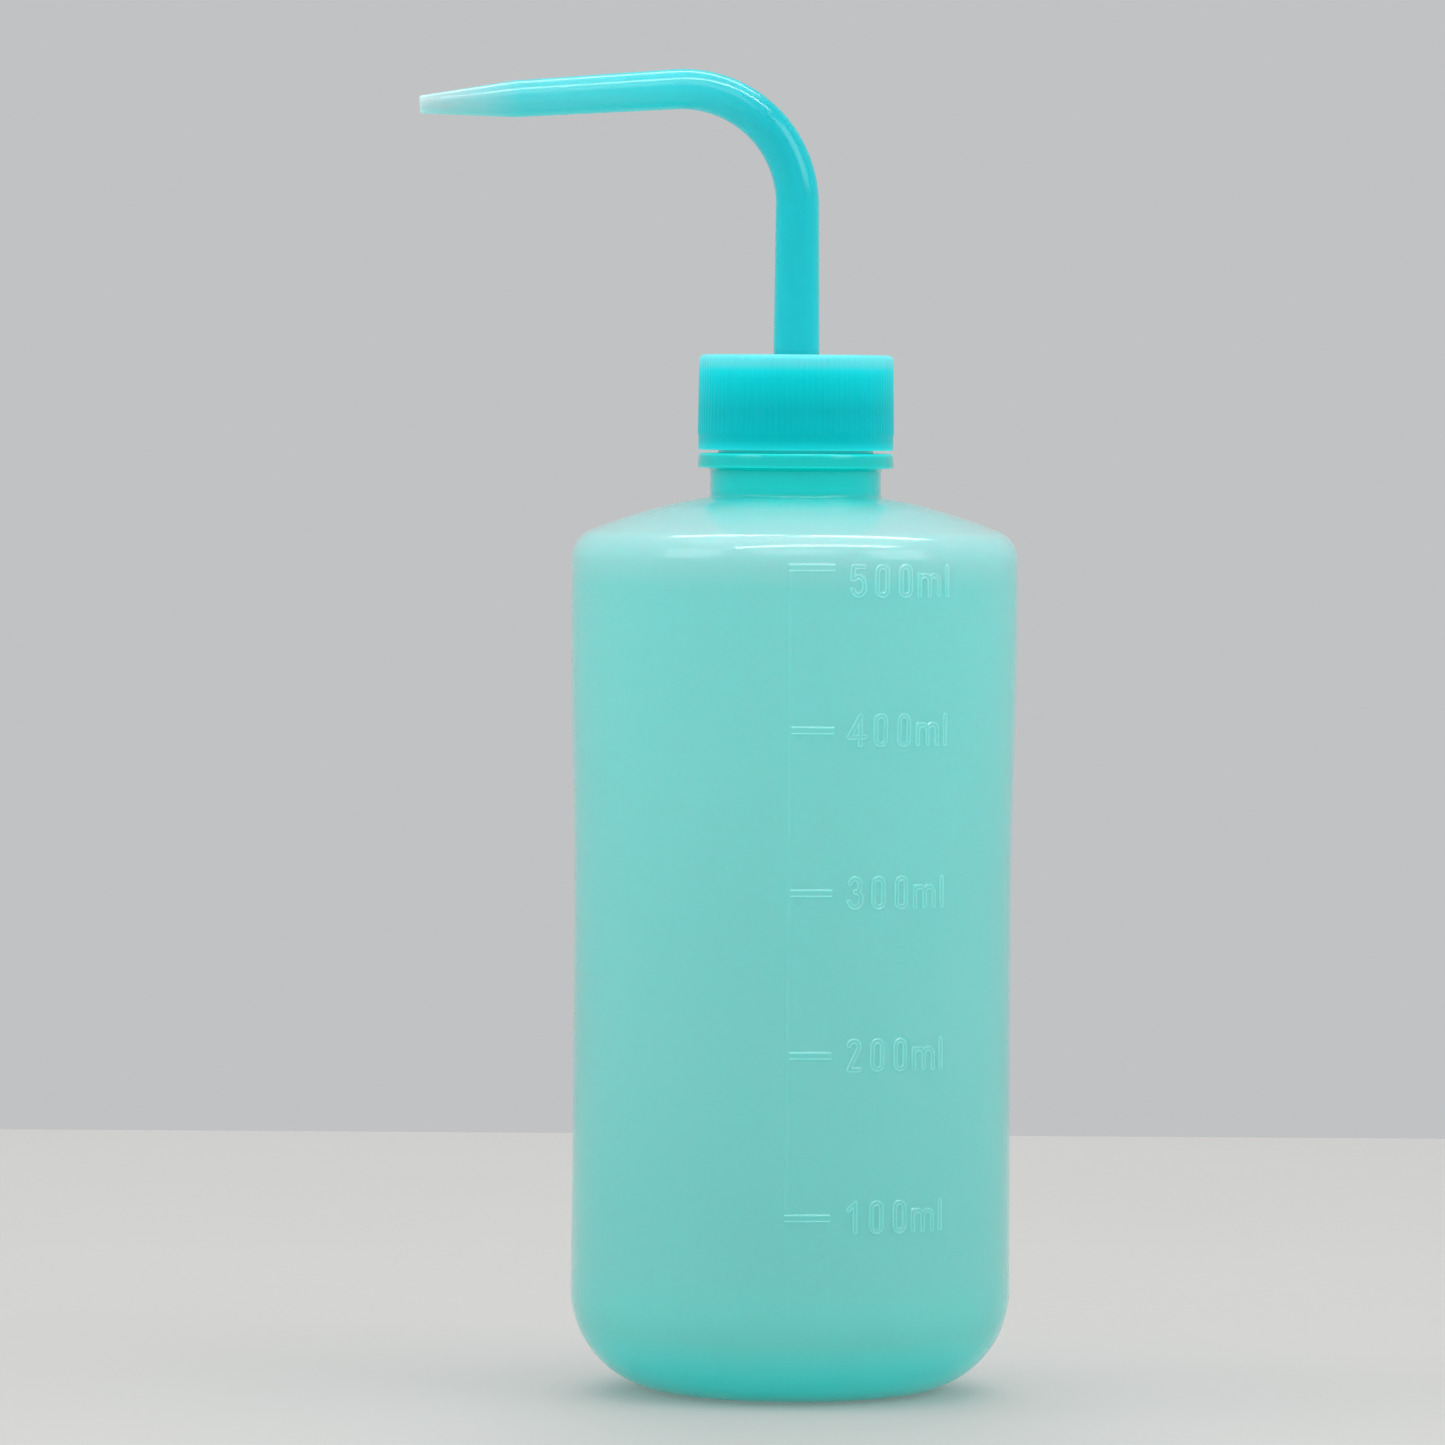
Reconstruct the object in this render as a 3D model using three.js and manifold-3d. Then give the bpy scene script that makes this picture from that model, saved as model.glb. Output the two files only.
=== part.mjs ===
// Squeeze wash bottle, 500 ml: a blow-moulded bottle, a screw cap, a bent spout that swivels in the
// cap, its dip tube, and the sealing washer between the spout's flange and the neck's rim.
// Millimetres, +Z up. The origin is the centre of the base, on the surface the bottle stands on.
// The closed bottle is drawn, with its spout along -X and its graduation on the -Y side.

import * as THREE from 'three';
import { mergeVertices } from 'three/addons/utils/BufferGeometryUtils.js';
import Module from 'manifold-3d';

const manifold = await Module();
manifold.setup();

// ---- Driving dimensions ----------------------------------------------------------------------

// Bottle body: a nearly straight wall, drawn in a little at its waist
const FOOT_RADIUS = 36.0;
const WAIST_RADIUS = 35.75;
const SHOULDER_RADIUS = 36.5;
const WAIST_HEIGHT = 80;
const WIDEST_HEIGHT = 128;
const WALL = 0.9;

// Base: a flat pad and a flat standing ring with a shallow ring-shaped recess between them
const BASE_CORNER = 16.4;
const PAD_RADIUS = 8;
const STANDING_RING_INNER = 16;
const RECESS_DEPTH = 0.8;
const RECESS_SLOPE = 1.5;

// Shoulder: a dome centred on the axis, with a small corner where it meets the wall
const DOME_TOP = 147.5;
const DOME_RADIUS = 88.0;
const DOME_CORNER = 5.0;

// Neck, with a collar bead under the cap
const NECK_RADIUS = 13.9;
const NECK_BORE = 11.2;
const COLLAR_BOTTOM = 151.0;
const COLLAR_TOP = 153.6;
const COLLAR_RADIUS_BELOW = 16.1;
const COLLAR_RADIUS_ABOVE = 15.9;
const COLLAR_UNDERCUT = 0.3;
const RIM_HEIGHT = 165.8;
const RIM_CHAMFER = 0.5;

// Thread: right-hand, the same pitch on the neck and in the cap
const THREAD_PITCH = 4.0;
const THREAD_ROOT_WIDTH = 1.6;
const THREAD_CREST_WIDTH = 0.8;
const THREAD_FADE_ANGLE = 30;
const THREAD_EMBED = 0.3;
const NECK_THREAD_ROOT = 12.7;
const NECK_THREAD_CREST = 13.7;
const NECK_THREAD_START = 158.3;
const NECK_THREAD_TURNS = 1.5;
const CAP_THREAD_ROOT = 14.1;
const CAP_THREAD_CREST = 13.1;
const CAP_THREAD_TURNS = 1.25;
const CAP_THREAD_DROP = 1.5; // how far the cap's thread lies under the neck's
const CAP_THREAD_LAG = 45; // degrees from the low end of the neck's thread to that of the cap's

// Closure: rim, washer, flange and cap plate lie on each other with a small gap
const STACK_GAP = 0.1;
const WASHER_THICKNESS = 1.0;
const WASHER_OUTER = 12.6;
const WASHER_INNER = 9.5;
const FLANGE_THICKNESS = 1.0;
const FLANGE_RADIUS = 12.4;

// Screw cap
const CAP_COLLAR_GAP = 0.5;
const CAP_PLATE = 1.6;
const CAP_RADIUS_BELOW = 16.1;
const CAP_RADIUS_ABOVE = 15.9;
const CAP_TOP_CORNER = 0.9;
const CAP_LOWER_CHAMFER = 0.2;
const CAP_HOLE = 3.95;
const CAP_LEAD_IN_RADIUS = 14.9;
const CAP_LEAD_IN_DEPTH = 1.2;
const CAP_LEAD_IN_CONE = 0.8;

// Spout: a tapering tube that rises, bends over and slopes down to its jet tip
const BEND_START_HEIGHT = 194.2;
const BEND_RADIUS = 18.8;
const BEND_ANGLE = 93.8;
const ARM_LENGTH = 26.3;
const TIP_LENGTH = 15.6;
const SPOUT_RADIUS_AT_CAP = 3.8;
const SPOUT_RADIUS_AT_BEND = 3.55;
const SPOUT_RADIUS_AFTER_BEND = 3.3;
const SPOUT_RADIUS_AT_TIP = 3.03;
const TIP_END_RADIUS = 1.48;
const SPOUT_BORE = 2.0;
const TIP_BORE = 0.75;

// The boss under the flange holds the dip tube
const BOSS_RADIUS = 4.8;
const BOSS_LENGTH = 14.0;
const BOSS_CHAMFER = 0.4;
const SOCKET_RADIUS = 3.1;
const SOCKET_DEPTH = 12.3;
const DIP_TUBE_RADIUS = 3.0;
const DIP_TUBE_BORE = 2.0;
const DIP_TUBE_END_GAP = 0.3;
const DIP_TUBE_LOWEST = 4.0;
const DIP_TUBE_CUT_ANGLE = 40;

// Graduation: raised marks for each 100 ml, joined by a line down their left ends
const MARK_COUNT = 5;
const LOWEST_MARK = 31.3;
const MARK_STEP = 26.07;
const MARK_HEIGHT = 0.8;
const MARK_PROUD = 0.3;
const MARK_EMBED = 0.4;
const MARK_ANGLE = 10.8;
const LINE_ANGLE = 0.9;
const MARK_START_ANGLE = 268.6;

// Facets round a full turn
const BODY_FACETS = 48;
const TUBE_FACETS = 20;
const BORE_FACETS = 12;

// Heights that follow from those
const WASHER_BOTTOM = RIM_HEIGHT + STACK_GAP;
const FLANGE_BOTTOM = WASHER_BOTTOM + WASHER_THICKNESS + STACK_GAP;
const PLATE_BOTTOM = FLANGE_BOTTOM + FLANGE_THICKNESS + STACK_GAP;
const CAP_BOTTOM = COLLAR_TOP + CAP_COLLAR_GAP;
const CAP_HEIGHT = PLATE_BOTTOM + CAP_PLATE - CAP_BOTTOM;
const DOME_CENTRE = DOME_TOP - DOME_RADIUS;

// ---- Helpers ---------------------------------------------------------------------------------

const radians = THREE.MathUtils.degToRad;
const mix = THREE.MathUtils.lerp;

// Points [radius, height] along an arc of a profile; 0 degrees points away from the axis
function arc(centreRadius, centreHeight, radius, fromDegrees, toDegrees, steps) {
  return Array.from({ length: steps + 1 }, (_, i) => {
    const angle = radians(mix(fromDegrees, toDegrees, i / steps));
    return [centreRadius + radius * Math.cos(angle), centreHeight + radius * Math.sin(angle)];
  });
}

// A profile of [radius, height] points turned about Z
function turned(profile, facets) {
  const points = profile.map(([radius, height]) => new THREE.Vector2(radius, height));
  return new THREE.LatheGeometry(points, facets).rotateX(Math.PI / 2);
}

// A section carried through stations: place(station, x, y) says where its point (x, y) goes
function swept(section, stations, place, curveSegments) {
  const steps = stations.length - 1;
  const options = { depth: 1, steps, bevelEnabled: false, curveSegments };
  const geometry = new THREE.ExtrudeGeometry(section, options);
  const position = geometry.attributes.position;
  for (let i = 0; i < position.count; i++) {
    const station = stations[Math.round(position.getZ(i) * steps)];
    position.setXYZ(i, ...place(station, position.getX(i), position.getY(i)));
  }
  return geometry;
}

// A closed geometry as a solid for joining and cutting
function solid(geometry) {
  geometry.deleteAttribute('normal');
  geometry.deleteAttribute('uv');
  const merged = mergeVertices(geometry, 1e-5);
  const vertProperties = new Float32Array(merged.attributes.position.array);
  const corners = merged.index.array;
  const triVerts = [];
  for (let i = 0; i < corners.length; i += 3) {
    const [a, b, c] = [corners[i], corners[i + 1], corners[i + 2]];
    if (a !== b && b !== c && c !== a) triVerts.push(a, b, c);
  }
  const mesh = { numProp: 3, vertProperties, triVerts: new Uint32Array(triVerts) };
  const made = new manifold.Manifold(new manifold.Mesh(mesh));
  if (made.volume() > 0) return made;
  for (let i = 0; i < mesh.triVerts.length; i += 3) {
    [mesh.triVerts[i], mesh.triVerts[i + 1]] = [mesh.triVerts[i + 1], mesh.triVerts[i]];
  }
  return new manifold.Manifold(new manifold.Mesh(mesh));
}

// A finished solid as a named, coloured mesh
function part(name, shape, color, roughness) {
  const { vertProperties, triVerts } = shape.getMesh();
  const geometry = new THREE.BufferGeometry();
  geometry.setAttribute('position', new THREE.BufferAttribute(vertProperties, 3));
  geometry.setIndex(new THREE.BufferAttribute(triVerts, 1));
  geometry.computeVertexNormals();
  const material = new THREE.MeshStandardMaterial({ color, roughness, metalness: 0 });
  const mesh = new THREE.Mesh(geometry, material);
  mesh.name = name;
  return mesh;
}

// A helical thread ridge from its root radius to its crest radius, fading out at both ends
function threadRidge(root, crest, startHeight, startDegrees, turns) {
  const outward = Math.sign(crest - root);
  const section = new THREE.Shape([
    new THREE.Vector2(0, -THREAD_ROOT_WIDTH / 2),
    new THREE.Vector2(1, -THREAD_CREST_WIDTH / 2),
    new THREE.Vector2(1, THREAD_CREST_WIDTH / 2),
    new THREE.Vector2(0, THREAD_ROOT_WIDTH / 2),
  ]);
  const steps = Math.round(turns * BODY_FACETS);
  const inner = root - outward * THREAD_EMBED;
  const sunkCrest = root - outward * THREAD_EMBED / 2;
  const stations = Array.from({ length: steps + 1 }, (_, i) => {
    const degrees = (i / BODY_FACETS) * 360;
    const fade = Math.min(1, degrees / THREAD_FADE_ANGLE, (turns * 360 - degrees) / THREAD_FADE_ANGLE);
    return {
      angle: radians(startDegrees + degrees),
      height: startHeight + (THREAD_PITCH * degrees) / 360,
      crest: mix(sunkCrest, crest, fade),
    };
  });
  const place = ({ angle, height, crest: crestHere }, x, y) => {
    const radius = mix(inner, crestHere, x);
    return [radius * Math.cos(angle), radius * Math.sin(angle), height + y];
  };
  return solid(swept(section, stations, place));
}

// ---- Bottle ----------------------------------------------------------------------------------

// Outer radius of the wall between the base corner and the shoulder
function wallRadius(height) {
  if (height < WAIST_HEIGHT) {
    const down = (WAIST_HEIGHT - height) / (WAIST_HEIGHT - BASE_CORNER);
    return mix(WAIST_RADIUS, FOOT_RADIUS, down * down);
  }
  return mix(WAIST_RADIUS, SHOULDER_RADIUS,
    THREE.MathUtils.smoothstep(height, WAIST_HEIGHT, WIDEST_HEIGHT));
}

// One side of the wall from the base's centre to the neck, set in from the outside by inset
function bottleProfile(inset, neckRadius) {
  const ringOuter = FOOT_RADIUS - BASE_CORNER;
  const cornerRadius = SHOULDER_RADIUS - DOME_CORNER;
  const cornerReach = DOME_RADIUS - DOME_CORNER;
  const cornerHeight = DOME_CENTRE + Math.sqrt(cornerReach ** 2 - cornerRadius ** 2);
  const domeStart = THREE.MathUtils.radToDeg(Math.acos(cornerRadius / cornerReach));
  const domeEnd = THREE.MathUtils.radToDeg(Math.acos(neckRadius / (DOME_RADIUS - inset)));
  const wallHeights = [48, WAIST_HEIGHT, 96, 112, WIDEST_HEIGHT];
  return [
    [0, inset],
    [PAD_RADIUS, inset],
    [PAD_RADIUS + RECESS_SLOPE, inset + RECESS_DEPTH],
    [STANDING_RING_INNER - RECESS_SLOPE, inset + RECESS_DEPTH],
    [STANDING_RING_INNER, inset],
    ...arc(ringOuter, BASE_CORNER, BASE_CORNER - inset, -90, 0, 6),
    ...wallHeights.map((height) => [wallRadius(height) - inset, height]),
    ...arc(cornerRadius, cornerHeight, DOME_CORNER - inset, 0, domeStart, 3),
    ...arc(0, DOME_CENTRE, DOME_RADIUS - inset, domeStart, domeEnd, 4).slice(1),
  ];
}

// A raised bar on the wall, from one angle to another, with its middle at a height
function wallBar(height, barHeight, fromDegrees, toDegrees, steps) {
  const section = new THREE.Shape([
    new THREE.Vector2(-MARK_EMBED, -barHeight / 2),
    new THREE.Vector2(MARK_PROUD, -barHeight / 2),
    new THREE.Vector2(MARK_PROUD, barHeight / 2),
    new THREE.Vector2(-MARK_EMBED, barHeight / 2),
  ]);
  const stations = Array.from({ length: steps + 1 }, (_, i) => (
    radians(mix(fromDegrees, toDegrees, i / steps))
  ));
  const place = (angle, x, y) => {
    const radius = wallRadius(height + y) + x;
    return [radius * Math.cos(angle), radius * Math.sin(angle), height + y];
  };
  return solid(swept(section, stations, place));
}

function bottle() {
  const outer = bottleProfile(0, NECK_RADIUS);
  const neck = [
    [NECK_RADIUS, COLLAR_BOTTOM],
    [COLLAR_RADIUS_BELOW, COLLAR_BOTTOM + COLLAR_UNDERCUT],
    [COLLAR_RADIUS_ABOVE, COLLAR_TOP],
    [NECK_THREAD_ROOT, COLLAR_TOP],
    [NECK_THREAD_ROOT, RIM_HEIGHT - RIM_CHAMFER],
    [NECK_THREAD_ROOT - RIM_CHAMFER, RIM_HEIGHT],
    [NECK_BORE, RIM_HEIGHT],
  ];
  const inner = bottleProfile(WALL, NECK_BORE).reverse();
  let shape = solid(turned([...outer, ...neck, ...inner], BODY_FACETS));
  shape = shape.add(threadRidge(
    NECK_THREAD_ROOT, NECK_THREAD_CREST, NECK_THREAD_START, 0, NECK_THREAD_TURNS));
  for (let i = 0; i < MARK_COUNT; i++) {
    const height = LOWEST_MARK + i * MARK_STEP;
    const end = MARK_START_ANGLE + MARK_ANGLE;
    shape = shape.add(wallBar(height, MARK_HEIGHT, MARK_START_ANGLE, end, 3));
  }
  for (let i = 0; i < MARK_COUNT - 1; i++) {
    const middle = LOWEST_MARK + (i + 0.5) * MARK_STEP;
    const end = MARK_START_ANGLE + LINE_ANGLE;
    shape = shape.add(wallBar(middle, MARK_STEP, MARK_START_ANGLE, end, 1));
  }
  return part('bottle', shape, 0x7acdc4, 0.35);
}

// ---- Closure ---------------------------------------------------------------------------------

// Each piece of the closure is drawn from its own lower face and lifted into place

function sealingWasher() {
  const ring = [
    [WASHER_INNER, 0],
    [WASHER_OUTER, 0],
    [WASHER_OUTER, WASHER_THICKNESS],
    [WASHER_INNER, WASHER_THICKNESS],
    [WASHER_INNER, 0],
  ];
  const mesh = part('sealing_washer', solid(turned(ring, BODY_FACETS)), 0xeeeee8, 0.6);
  mesh.position.z = WASHER_BOTTOM;
  return mesh;
}

function screwCap() {
  const plateUnderside = PLATE_BOTTOM - CAP_BOTTOM;
  const cornerRadius = CAP_RADIUS_ABOVE - CAP_TOP_CORNER;
  const section = [
    [CAP_LEAD_IN_RADIUS, 0],
    [CAP_RADIUS_BELOW - CAP_LOWER_CHAMFER, 0],
    [CAP_RADIUS_BELOW, CAP_LOWER_CHAMFER],
    ...arc(cornerRadius, CAP_HEIGHT - CAP_TOP_CORNER, CAP_TOP_CORNER, 0, 90, 3),
    [CAP_HOLE, CAP_HEIGHT],
    [CAP_HOLE, plateUnderside],
    [CAP_THREAD_ROOT, plateUnderside],
    [CAP_THREAD_ROOT, CAP_LEAD_IN_DEPTH + CAP_LEAD_IN_CONE],
    [CAP_LEAD_IN_RADIUS, CAP_LEAD_IN_DEPTH],
    [CAP_LEAD_IN_RADIUS, 0],
  ];
  const risePerDegree = THREAD_PITCH / 360;
  const threadStart = NECK_THREAD_START + CAP_THREAD_LAG * risePerDegree - CAP_THREAD_DROP;
  const shape = solid(turned(section, BODY_FACETS)).add(threadRidge(
    CAP_THREAD_ROOT, CAP_THREAD_CREST, threadStart - CAP_BOTTOM, CAP_THREAD_LAG, CAP_THREAD_TURNS));
  const mesh = part('screw_cap', shape, 0x00b9be, 0.4);
  mesh.position.z = CAP_BOTTOM;
  return mesh;
}

// Stations along the spout from the flange to the tip's end, with the radius at each
function spoutStations(radii, lowest, overrun) {
  const rise = BEND_START_HEIGHT - FLANGE_BOTTOM;
  const straight = (x, z, degrees, length, fromRadius, toRadius, steps) => (
    Array.from({ length: steps }, (_, i) => {
      const along = (length * (i + 1)) / steps;
      const angle = radians(degrees);
      return {
        x: x - along * Math.sin(angle),
        z: z + along * Math.cos(angle),
        degrees,
        radius: mix(fromRadius, toRadius, (i + 1) / steps),
      };
    })
  );
  const start = { x: 0, z: lowest, degrees: 0, radius: radii.cap };
  const riser = straight(0, lowest, 0, rise - lowest, radii.cap, radii.bend, 3);
  const bend = Array.from({ length: 14 }, (_, i) => {
    const degrees = (BEND_ANGLE * (i + 1)) / 14;
    const angle = radians(degrees);
    return {
      x: BEND_RADIUS * (Math.cos(angle) - 1),
      z: rise + BEND_RADIUS * Math.sin(angle),
      degrees,
      radius: mix(radii.bend, radii.arm, (i + 1) / 14),
    };
  });
  const bendEnd = bend[bend.length - 1];
  const arm = straight(bendEnd.x, bendEnd.z, BEND_ANGLE, ARM_LENGTH, radii.arm, radii.tip, 2);
  const armEnd = arm[arm.length - 1];
  const tip = straight(
    armEnd.x, armEnd.z, BEND_ANGLE, TIP_LENGTH + overrun, radii.tip, radii.end, 2);
  return [start, ...riser, ...bend, ...arm, ...tip];
}

// A round rod's solid along those stations; three.js gives a full circle two points a segment
function spoutRod(radii, lowest, overrun, facets) {
  const circle = new THREE.Shape().absarc(0, 0, 1, 0, 2 * Math.PI);
  const place = ({ x, z, degrees, radius }, across, sideways) => {
    const angle = radians(degrees);
    const out = across * radius;
    return [x + out * Math.cos(angle), sideways * radius, z + out * Math.sin(angle)];
  };
  return solid(swept(circle, spoutStations(radii, lowest, overrun), place, facets / 2));
}

function dipTube(socketTop) {
  const top = socketTop - DIP_TUBE_END_GAP;
  const lowest = DIP_TUBE_LOWEST - FLANGE_BOTTOM;
  const ring = [
    [DIP_TUBE_BORE, lowest],
    [DIP_TUBE_RADIUS, lowest],
    [DIP_TUBE_RADIUS, top],
    [DIP_TUBE_BORE, top],
    [DIP_TUBE_BORE, lowest],
  ];
  const blockSize = 10 * DIP_TUBE_RADIUS;
  const block = new THREE.BoxGeometry(blockSize, blockSize, blockSize)
    .translate(0, 0, -blockSize / 2)
    .rotateY(-radians(DIP_TUBE_CUT_ANGLE))
    .translate(0, 0, lowest + DIP_TUBE_RADIUS * Math.tan(radians(DIP_TUBE_CUT_ANGLE)));
  const shape = solid(turned(ring, TUBE_FACETS)).subtract(solid(block));
  return part('dip_tube', shape, 0xdfeeec, 0.3);
}

function spout() {
  const socketTop = SOCKET_DEPTH - BOSS_LENGTH;
  const holder = [
    [0, -BOSS_LENGTH],
    [BOSS_RADIUS - BOSS_CHAMFER, -BOSS_LENGTH],
    [BOSS_RADIUS, BOSS_CHAMFER - BOSS_LENGTH],
    [BOSS_RADIUS, 0],
    [FLANGE_RADIUS, 0],
    [FLANGE_RADIUS, FLANGE_THICKNESS],
    [0, FLANGE_THICKNESS],
  ];
  const socket = [
    [0, -BOSS_LENGTH - 1],
    [SOCKET_RADIUS, -BOSS_LENGTH - 1],
    [SOCKET_RADIUS, socketTop],
    [0, socketTop],
  ];
  const outside = {
    cap: SPOUT_RADIUS_AT_CAP,
    bend: SPOUT_RADIUS_AT_BEND,
    arm: SPOUT_RADIUS_AFTER_BEND,
    tip: SPOUT_RADIUS_AT_TIP,
    end: TIP_END_RADIUS,
  };
  const bore = { cap: SPOUT_BORE, bend: SPOUT_BORE, arm: SPOUT_BORE, tip: SPOUT_BORE, end: TIP_BORE };
  const shape = solid(turned(holder, BODY_FACETS))
    .add(spoutRod(outside, FLANGE_THICKNESS / 2, 0, TUBE_FACETS))
    .subtract(spoutRod(bore, socketTop - 1, 0.5, BORE_FACETS))
    .subtract(solid(turned(socket, TUBE_FACETS)));
  const mesh = part('spout', shape, 0x00c0c8, 0.3);
  const group = new THREE.Group();
  group.position.z = FLANGE_BOTTOM;
  group.add(mesh, dipTube(socketTop));
  return group;
}

const washBottle = new THREE.Group();
washBottle.add(bottle(), sealingWasher(), screwCap(), spout());

export default washBottle;
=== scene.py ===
"""The looks of a 500 ml squeeze wash bottle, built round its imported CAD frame.

Shapes are worked out in millimetres, and every mesh is turned into metres when it is made. The
bottle stands on the origin, its spout points along -X and its graduation faces -Y.
"""

import math

import bpy
import numpy as np
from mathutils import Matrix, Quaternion, Vector


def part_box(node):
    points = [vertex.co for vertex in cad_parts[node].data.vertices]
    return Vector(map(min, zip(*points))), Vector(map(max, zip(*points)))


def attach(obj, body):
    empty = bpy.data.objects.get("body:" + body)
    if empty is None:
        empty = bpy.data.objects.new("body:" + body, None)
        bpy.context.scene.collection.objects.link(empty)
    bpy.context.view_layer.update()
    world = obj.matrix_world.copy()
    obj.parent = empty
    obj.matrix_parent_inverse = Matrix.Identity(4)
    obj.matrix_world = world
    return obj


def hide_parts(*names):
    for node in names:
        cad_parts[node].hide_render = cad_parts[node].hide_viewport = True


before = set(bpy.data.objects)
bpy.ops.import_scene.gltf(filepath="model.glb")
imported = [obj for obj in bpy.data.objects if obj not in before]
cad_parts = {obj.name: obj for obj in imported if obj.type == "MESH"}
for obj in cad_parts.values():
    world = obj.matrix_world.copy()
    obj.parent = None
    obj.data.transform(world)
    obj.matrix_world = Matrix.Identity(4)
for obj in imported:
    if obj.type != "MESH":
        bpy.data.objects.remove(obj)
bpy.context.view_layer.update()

MM = 0.001


def node_box(node):
    """A CAD node's lowest and highest corner, in millimetres."""
    low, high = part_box(node)
    return np.array(low) / MM, np.array(high) / MM


bottle_high = node_box("bottle")[1]
cap_low, cap_high = node_box("screw_cap")
spout_low = node_box("spout")[0]
tube_low, tube_high = node_box("dip_tube")
washer_low, washer_high = node_box("sealing_washer")

# ---- Sizes in millimetres ----------------------------------------------------------------------

# Bottle body
SHOULDER_RADIUS = bottle_high[0]
FOOT_RADIUS = SHOULDER_RADIUS - 0.5
WAIST_RADIUS = SHOULDER_RADIUS - 0.75
WAIST_HEIGHT = 80.0
WIDEST_HEIGHT = 128.0
WALL = 0.9
BASE_CORNER = 16.4
PAD_RADIUS = 8.0
RING_RADIUS = 16.0
RING_EDGE = 0.4
RECESS_DEPTH = 0.8
RECESS_SLOPE = 1.5
DOME_TOP = 147.5
DOME_RADIUS = 88.0
DOME_CENTRE = DOME_TOP - DOME_RADIUS
DOME_CORNER = 5.0

# Neck
NECK_RADIUS = 13.9
NECK_BORE = 11.2
NECK_FILLET = 0.6
COLLAR_BOTTOM = 151.0
COLLAR_TOP = 153.6
COLLAR_RADIUS_BELOW = 16.1
COLLAR_RADIUS_ABOVE = 15.9
COLLAR_EDGE = 0.25
COLLAR_RISE = 0.2
COLLAR_FOOT = 0.3
RIM_HEIGHT = bottle_high[2]
RIM_EDGE = 0.45

# Threads, drawn with the pitch, places and clearances of the CAD model; angles in degrees
PITCH = 4.0
THREAD_ROOT_WIDTH = 1.6
THREAD_CREST_WIDTH = 0.8
THREAD_FADE = 30.0
NECK_THREAD_ROOT = 12.7
NECK_THREAD_CREST = 13.7
NECK_THREAD_START = 158.3
NECK_THREAD_TURNS = 1.5
CAP_THREAD_ROOT = 14.1
CAP_THREAD_CREST = 13.1
CAP_THREAD_TURNS = 1.25
CAP_THREAD_LAG = 45.0
CAP_THREAD_DROP = 1.5
CAP_THREAD_START = NECK_THREAD_START + PITCH * CAP_THREAD_LAG / 360 - CAP_THREAD_DROP

# Graduation: places round the wall are arc lengths from the front, to the right
FRONT_DEGREES = 270
MARK_PROUD = 0.22
MARK_EDGE = 0.2
MARK_VALLEY = 0.35
MARK_HEIGHT = 1.16
MARK_COUNT = 5
LOWEST_MARK = 31.3
MARK_STEP = 26.07
MARK_LEFT = -0.7
MARK_RIGHT = 6.0
END_MARK_LEFT = -1.3
SCALE_LINE = -0.95
SCALE_LINE_WIDTH = 0.7
SCALE_LINE_PROUD = 0.055
STROKE_WIDTH = 0.8
LETTER_HEIGHT = 5.4
TOP_TEXT_DROP = 2.15
DIGIT_CENTRES = (9.8, 13.8, 17.9)
M_CENTRE = 22.35
L_CENTRE = 25.9

# Painted highlight along the strokes' edges, which are made lighter: the marks' by the whole of
# this, the letters' by a share
EDGE_HIGHLIGHT = 1.4
LETTER_HIGHLIGHT_SHARE = 0.42
STROKE_HIGHLIGHT = "painted_stroke_highlight"

# Spacing of the bottle's mesh, close over the text, the marks' ends and the scale line
FINE_ROW = 0.12
COARSE_ROW = 5.0
FINE_COLUMN = 0.14
COARSE_DEGREES = 4.5
FINE_STRETCHES = (
    (END_MARK_LEFT - 0.3, SCALE_LINE + 0.6),
    (MARK_RIGHT - 0.3, MARK_RIGHT + 0.3),
    (DIGIT_CENTRES[0] - 1.8, L_CENTRE + 0.7),
)

# Mould seam on both sides of the bottle, and its columns in degrees from the middle of the seam
SEAM_PROUD = 0.06
SEAM_HALF_WIDTH = 0.35
SEAM_START = 2.0
SEAM_COLUMNS = (-1.6, -1.1, -0.6, 0.6, 1.1, 1.6)

# Screw cap
CAP_RADIUS_BELOW = cap_high[0]
CAP_CORNER = 0.9
CAP_HOLE = 3.9
CAP_PLATE = 1.6
CAP_LEAD_IN = 14.9
CAP_LEAD_IN_DEPTH = 1.2
CAP_LEAD_IN_CONE = 0.8
CAP_TAPER = 0.2
CAP_FOOT_EDGE = 0.25
SKIRT_HEIGHT = 2.6
SKIRT_STEP = 0.12
SKIRT_CONE = 0.15
RIB_COUNT = 100
RIB_DEPTH = 0.09

# Spout, with its bend in degrees
FLANGE_RADIUS = 12.4
FLANGE_THICKNESS = 1.0
FLANGE_FILLET = 0.05
BOSS_RADIUS = 4.8
BOSS_LENGTH = 14.0
BOSS_CHAMFER = 0.4
SOCKET_RADIUS = 3.1
SOCKET_DEPTH = 12.3
BEND_START = 194.2
BEND_RADIUS = 18.8
BEND_ANGLE = 93.8
ARM_LENGTH = 26.3
TIP_LENGTH = 15.6
SPOUT_RADIUS_AT_CAP = 3.8
SPOUT_RADIUS_AT_BEND = 3.55
SPOUT_RADIUS_AFTER_BEND = 3.3
SPOUT_RADIUS_AT_TIP = 3.03
TIP_END_RADIUS = 1.48
SPOUT_BORE = 2.0
TIP_BORE = 0.75

# Dip tube
TUBE_RADIUS = 3.0
TUBE_BORE = 2.0
TUBE_CUT_ANGLE = 40.0
TUBE_CUT_ROOM = 8.0
TUBE_EDGE = 0.15

# Washer
WASHER_INNER = 9.5
WASHER_EDGE = 0.2

# Chamfers on the corners of the mouldings
CHAMFER = 0.3
FINE_CHAMFER = 0.2

# Columns round each smaller piece, and rows up the threads
RIB_COLUMNS = 8
SPOUT_COLUMNS = 64
TUBE_COLUMNS = 48
WASHER_COLUMNS = 96
NECK_THREAD_ROW = 0.36
CAP_THREAD_ROW = 0.3

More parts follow.
